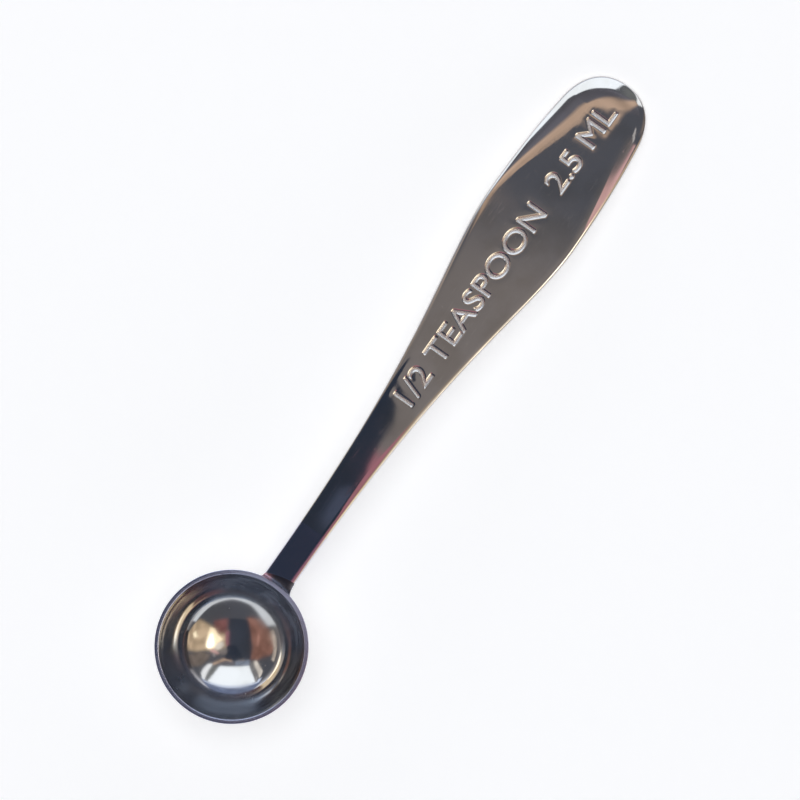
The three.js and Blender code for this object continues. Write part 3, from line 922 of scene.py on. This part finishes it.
NEAR_CARDS = (
    Card("veil", (0.085, 0.105, 0.165), 1, 0.0018, [
        (-0.0045, -0.0086), (-0.0050, -0.0140), (-0.0108, -0.0232), (-0.0162, -0.0262), (-0.0152, -0.0204),
        (-0.0094, -0.0112),
    ]),
    Card("shade", (0.034, 0.045, 0.07), 1, 0.0006, [
        (-0.05, -0.045), (-0.004, -0.045), (-0.001, -0.038), (0.003, -0.029), (-0.003, -0.019),
        (-0.003, -0.011), (0.0, -0.004), (0.004, 0.003), (0.008, 0.009), (0.0093, 0.0135),
        (0.0113, 0.020), (0.015, 0.0285), (-0.007, 0.034), (-0.05, 0.043), (-0.09, 0.03),
    ]),
    Card("dusk", (0.057, 0.069, 0.097), 1, 0.02, rectangle((-0.15, -0.001), (-0.23, 0.044))),
)
FAR_CARDS = (
    Card("tan", (0.64, 0.465, 0.35), 1, 0.045, [
        (-0.04, 0.34), (-0.02, 0.46), (0.1, 0.44), (0.2, 0.425), (0.38, 0.525), (0.62, 0.64), (0.68, 0.55),
        (0.44, 0.405), (0.26, 0.325), (0.17, 0.315), (0.1, 0.315), (0.18, 0.25), (0.10, 0.22),
    ]),
    Card("pink", (1.0, 0.62, 0.6), 1, 0.02, [
        (0.36, 0.185), (0.4, 0.24), (0.51, 0.2), (0.63, 0.17), (0.68, 0.09), (0.58, 0.045), (0.48, 0.085),
    ]),
    Card("spot", (0.7, 0.68, 0.68), 1, 0.02, [
        (0.475, 0.25), (0.52, 0.31), (0.56, 0.3), (0.57, 0.19), (0.53, 0.19),
    ]),
    Card("rose", (0.46, 0.20, 0.245), 1, 0.014, [
        (-0.06, -0.45), (-0.06, 0.045), (0.035, 0.052), (0.06, 0.047), (0.11, 0.032), (0.15, 0.0),
        (0.18, -0.1), (0.19, -0.45),
    ]),
    Card("cream", (0.95, 0.88, 0.78), 1, 0.02, [
        (0.19, -0.03), (0.30, 0.07), (0.42, 0.11), (0.53, 0.06), (0.45, -0.08), (0.24, -0.17),
    ]),
    Card("lamp", (1.0, 0.92, 0.76), 4.0, 0.03, [
        (0.5, -0.05), (0.62, 0.04), (0.8, 0.03), (0.78, -0.15), (0.64, -0.45), (0.58, -0.4),
    ]),
    Card("bulb", (1.0, 0.88, 0.64), 1.7, 0.08, [(1.1, -0.35), (1.3, -0.3), (1.5, -0.55), (1.25, -0.68)]),
    Card("halo", (1.0, 0.84, 0.58), 1.7, 0.05, [
        (0.2, -0.2), (0.4, -0.05), (0.5, 0.08), (0.68, 0.1), (0.9, 0.03), (0.85, -0.2), (0.75, -0.72),
        (0.52, -0.6), (0.36, -0.36),
    ]),
    Card("wine", (0.28, 0.12, 0.12), 1, 0.16, rectangle((0.05, 0.68), (-1.0, -0.3))),
    Card("gold", (0.70, 0.54, 0.37), 1, 0.15, [
        (0.05, 0.05), (0.45, 0.17), (1.2, 0.2), (2.1, 0.15), (2.1, -0.8), (1.2, -1.2), (0.6, -0.75),
        (0.05, -0.5),
    ]),
    Card("gloom", (0.05, 0.045, 0.05), 1, 0.15, [
        (1.9, 1.1), (1.95, -0.9), (3.6, -1.5), (4.4, 0.0), (4.0, 2.2),
    ]),
    Card("umber", (0.25, 0.228, 0.222), 1, 0.1, rectangle((-0.14, 0.6), (-0.05, 0.28))),
    Card("frame", (0.155, 0.155, 0.185), 1, 0.04, rectangle((-0.12, 0.66), (0.38, 0.61))),
    Card("window", (0.87, 0.94, 1.0), 1.55, 0.02, [
        (-0.58, 0.61), (0.26, 0.585), (0.4, 0.62), (0.85, 1.2), (1.0, 1.4), (-1.0, 1.4), (-0.88, 1.2),
    ]),
    Card("pane", (0.93, 0.97, 1.0), 1.35, 0.04, [
        (0.58, 0.53), (0.85, 0.57), (1.15, 0.93), (1.35, 1.45), (1.1, 1.38),
    ]),
    Card("post", (0.17, 0.18, 0.185), 1, 0.12, [(0.32, 0.52), (0.75, 0.5), (1.3, 1.5), (0.85, 1.5)]),
    Card("taupe", (0.21, 0.175, 0.155), 1, 0.1, [
        (0.6, 0.22), (1.0, 0.13), (2.0, 0.25), (2.0, 1.0), (0.98, 0.64), (0.75, 0.45),
    ]),
    Card("haze", (0.30, 0.36, 0.48), 1, 0.1, rectangle((-0.62, 0.0), (0.36, 0.68))),
    Card("beige", (0.40, 0.33, 0.28), 1, 0.05, rectangle((-0.4, 0.02), (0.16, 0.46))),
    Card("blush", (0.62, 0.34, 0.28), 1, 0.04, [(-1.0, -0.45), (-0.86, -0.4), (-0.76, 0.0), (-0.88, 0.04)]),
    Card("ivory", (0.7, 0.62, 0.55), 1, 0.12, [
        (-1.43, -0.67), (-1.58, 0.0), (-1.5, 0.5), (-2.0, 0.7), (-2.15, 0.0), (-1.92, -0.9),
    ]),
    Card("brown", (0.34, 0.175, 0.14), 1, 0.16, [
        (-0.46, 0.46), (-0.54, 0.0), (-0.42, -0.5), (-0.5, -1.1), (-0.75, -1.25), (-1.2, -1.1),
        (-1.75, -0.5), (-1.9, 0.2), (-0.9, 0.54),
    ]),
    Card("linen", (0.95, 0.9, 0.82), 1, 0.08, [
        (-0.66, 0.45), (-0.89, 0.42), (-1.2, 0.85), (-1.2, 1.35), (-1.0, 1.1),
    ]),
    Card("jamb", (0.30, 0.30, 0.31), 1, 0.08, [(-0.45, 0.48), (-0.8, 0.42), (-1.2, 1.5), (-0.85, 1.5)]),
    Card("sky", (0.7, 0.8, 1.0), 1.22, 0.15, rectangle((-1.4, 1.4), (1.2, 1.7))),
    Card("night", (0.2, 0.25, 0.4), 1, 0.15, rectangle((-1.6, 1.6), (1.5, 3.4))),
    Card("dawn", (0.8, 0.86, 0.93), 1.15, 0.12, [
        (1.45, -1.0), (0.8, -1.95), (-0.1, -2.5), (-0.8, -1.9), (-1.12, -1.12), (-1.4, -0.75),
        (-3.08, -1.44), (-2.4, -2.4), (-0.58, -3.6), (1.16, -2.7), (2.2, -1.5),
    ]),
)


def glow(plan, size):
    """Light over a card, which fades out with its cover, and is mottled unless the card is a lamp."""
    material, s = new_material(plan.name)
    cover = s.add("Attribute", attribute_name="cover").outputs["Fac"]
    cloud = s.noise(s.place(), scale=CARD_CLOUDS / size, detail=1.0)
    spread = CARD_MOTTLE if plan.brightness == 1 else 0
    dimmest, brightest = plan.brightness * (1 - spread), plan.brightness * (1 + spread)
    level = s.ramp(cloud, low=0.3, high=0.7, start=dimmest, end=brightest)
    light = s.add("Emission", {"Color": opaque(plan.tone), "Strength": level})
    clear = s.add("BsdfTransparent")
    fade = s.add("MixShader", {0: s.ramp(cover, 0.0, 1.0), 1: clear.outputs[0], 2: light.outputs[0]})
    s.add("OutputMaterial", {"Surface": fade.outputs[0]})
    return material


class SPOON_OT_stage(Operator):
    """Makes the floor with its backdrop, the softbox and cards overhead, and the camera"""

    bl_idname = "spoon.stage"
    bl_label = "Studio"
    floor_radius = 2.2
    floor_sides = 96
    floor_shade = 0.985  # of the floor's darker patches, against its own colour
    backdrop_height = 0.45
    backdrop_steps = 12
    key_place = (0.3, 0.1, 1.7)  # upward in the picture, to its left, and above the table
    key_size = 1.6
    ends_span = (0.3, 0.8)  # from the spoon's sides to its ends: cosines to the picture's upward direction
    horizon_span = (0.24, 0.48)  # from the horizon to the ceiling: sines of the height
    camera_place = (-1.49 * MM, 0.7 * MM)
    camera_sensor = 36
    camera_clip = 0.01

    def execute(self, context):
        stage = context.scene.spoon.stage
        self.floor(stage)
        self.key(stage)
        self.cards(stage)
        self.world(context.scene, stage)
        self.camera(context.scene, stage)
        context.scene.view_settings.view_transform = "Standard"
        return {"FINISHED"}

    def floor(self, stage):
        """A pale round floor that curves up into a low backdrop."""
        bm = bmesh.new()
        middle = bm.verts.new((0, 0, 0))
        edge = bm.verts.new((self.floor_radius, 0, 0))
        bm.edges.new((middle, edge))
        bmesh.ops.spin(
            bm, geom=[edge], cent=(self.floor_radius, 0, self.backdrop_height), axis=(0, -1, 0),
            angle=math.pi / 2, steps=self.backdrop_steps, use_duplicate=False,
        )
        bmesh.ops.spin(
            bm, geom=bm.verts[:] + bm.edges[:], cent=(0, 0, 0), axis=(0, 0, 1), angle=2 * math.pi,
            steps=self.floor_sides, use_merge=True,
        )
        bmesh.ops.remove_doubles(bm, verts=bm.verts, dist=MERGE)
        bmesh.ops.recalc_face_normals(bm, faces=bm.faces)
        for face in bm.faces:
            face.smooth = True
        mesh = bpy.data.meshes.new("floor")
        bm.to_mesh(mesh)
        bm.free()
        mesh.materials.append(self.paper(stage))
        link_stage("floor", mesh)

    def paper(self, stage):
        """Pale paper, which adds some white to its own colour where it is seen or reflected."""
        material, s = new_material("floor_pale")
        shade = [value * self.floor_shade for value in stage.floor]
        patches = s.ramp(s.noise(s.place(), scale=3.0), low=0.3, high=0.7)
        paper = s.add("BsdfDiffuse", {"Color": s.mix(patches, opaque(shade), opaque(stage.floor))})
        path = s.add("LightPath").outputs
        seen = s.math("MAXIMUM", path["Is Camera Ray"], path["Is Glossy Ray"])
        seen = s.math("MAXIMUM", seen, path["Is Transmission Ray"])
        lift = s.add("Emission", {"Strength": s.times(seen, stage.floor_lift)})
        both = s.add("AddShader", {0: paper.outputs[0], 1: lift.outputs[0]})
        s.add("OutputMaterial", {"Surface": both.outputs[0]})
        return material

    def key(self, stage):
        """The large softbox that lights the floor."""
        light = bpy.data.lights.new("key", "AREA")
        light.size = self.key_size
        light.energy = stage.key * math.pi * self.key_size**2
        box = link_stage("key", light)
        box.location = Matrix.Rotation(PICTURE_TURN, 3, "Z") @ Vector(self.key_place)
        box.visible_camera = False
        box.visible_glossy = False

    def cards(self, stage):
        """Soft-edged cards overhead, which the polished steel reflects, lowest first."""
        for layer, plan in enumerate(NEAR_CARDS):
            self.card(plan, stage.near + layer * CARD_LAYER, 1)
        for layer, plan in enumerate(FAR_CARDS):
            self.card(plan, stage.far + layer * CARD_LAYER, stage.far)

    def card(self, plan, height, size):
        """A level card at a height, with its corners and its soft edge scaled by a size."""
        bm = bmesh.new()
        cover = bm.verts.layers.float.new("cover")
        turn = Matrix.Rotation(PICTURE_TURN, 3, "Z")
        places = [turn @ Vector((size * up, -size * right, height)) for right, up in plan.corners]
        face = bm.faces.new([bm.verts.new(place) for place in places])
        face.normal_update()
        rim = set(face.verts)
        bmesh.ops.inset_region(
            bm, faces=[face], thickness=size * plan.soft, use_boundary=True, use_even_offset=True,
        )
        for vert in bm.verts:
            vert[cover] = 0 if vert in rim else 1
        mesh = bpy.data.meshes.new(plan.name)
        bm.to_mesh(mesh)
        bm.free()
        mesh.materials.append(glow(plan, size))
        card = link_stage(plan.name, mesh)
        card.visible_camera = False
        card.visible_diffuse = False
        card.visible_shadow = False

    def world(self, scene, stage):
        """The studio above the backdrop: dim overhead, and paler at the horizon beyond the spoon's ends."""
        world = bpy.data.worlds.new("studio")
        world.use_nodes = True
        s = Shading(world.node_tree)
        heading = s.add("TexCoord").outputs["Generated"]
        picture_up = (math.cos(PICTURE_TURN), math.sin(PICTURE_TURN), 0)
        lengthwise = s.math("ABSOLUTE", s.measure("DOT_PRODUCT", heading, picture_up))
        ends = s.ramp(lengthwise, *self.ends_span)
        overhead = s.ramp(s.axis(heading, "Z"), *self.horizon_span)
        low = s.mix(ends, opaque(stage.wings), opaque(stage.horizon))
        tone = s.mix(overhead, low, opaque(stage.ceiling))
        near_ends = s.times(ends, s.math("SUBTRACT", 1.0, overhead))
        level = s.ramp(near_ends, 0.0, 1.0, start=1.0, end=stage.horizon_glow)
        studio = s.add("Background", {"Color": tone, "Strength": level})
        s.add("OutputWorld", {"Surface": studio.outputs[0]})
        scene.world = world

    def camera(self, scene, stage):
        """Straight above the spoon, turned so that the handle points to the upper right."""
        lens = bpy.data.cameras.new("camera")
        lens.lens = stage.lens
        lens.sensor_width = self.camera_sensor
        lens.clip_start = self.camera_clip
        camera = link_stage("camera", lens)
        camera.location = (*self.camera_place, stage.camera_height)
        camera.rotation_euler = (0, 0, PICTURE_TURN - math.pi / 2)
        scene.camera = camera


class SPOON_PT_tools(Panel):
    """Lists the spoon's pieces and settings"""

    bl_idname = "SPOON_PT_tools"
    bl_label = "Measuring Spoon"
    bl_space_type = "VIEW_3D"
    bl_region_type = "UI"
    bl_category = "Spoon"

    def draw(self, context):
        settings = context.scene.spoon
        for operator in OPERATORS:
            self.layout.operator(operator.bl_idname)
        for name, group in settings.bl_rna.properties.items():
            if group.type == "POINTER" and name != "rna_type":
                box = self.layout.box()
                box.label(text=group.name or name.title())
                values = getattr(settings, name)
                for item in values.bl_rna.properties:
                    if not item.is_readonly and item.identifier != "name":
                        box.prop(values, item.identifier)


GROUPS = (
    BowlSettings, HandleSettings, MarkSettings, BeadSettings, FinishSettings, StageSettings, SpoonSettings,
)
OPERATORS = (SPOON_OT_bowl, SPOON_OT_handle, SPOON_OT_weld, SPOON_OT_stage)
CLASSES = (*GROUPS, *OPERATORS, SPOON_PT_tools)


def register():
    for item in CLASSES:
        bpy.utils.register_class(item)
    bpy.types.Scene.spoon = PointerProperty(type=SpoonSettings)


def unregister():
    del bpy.types.Scene.spoon
    for item in reversed(CLASSES):
        bpy.utils.unregister_class(item)


def main():
    register()
    bpy.ops.spoon.bowl()
    bpy.ops.spoon.handle()
    bpy.ops.spoon.weld()
    bpy.ops.spoon.stage()


if __name__ == "__main__":
    main()
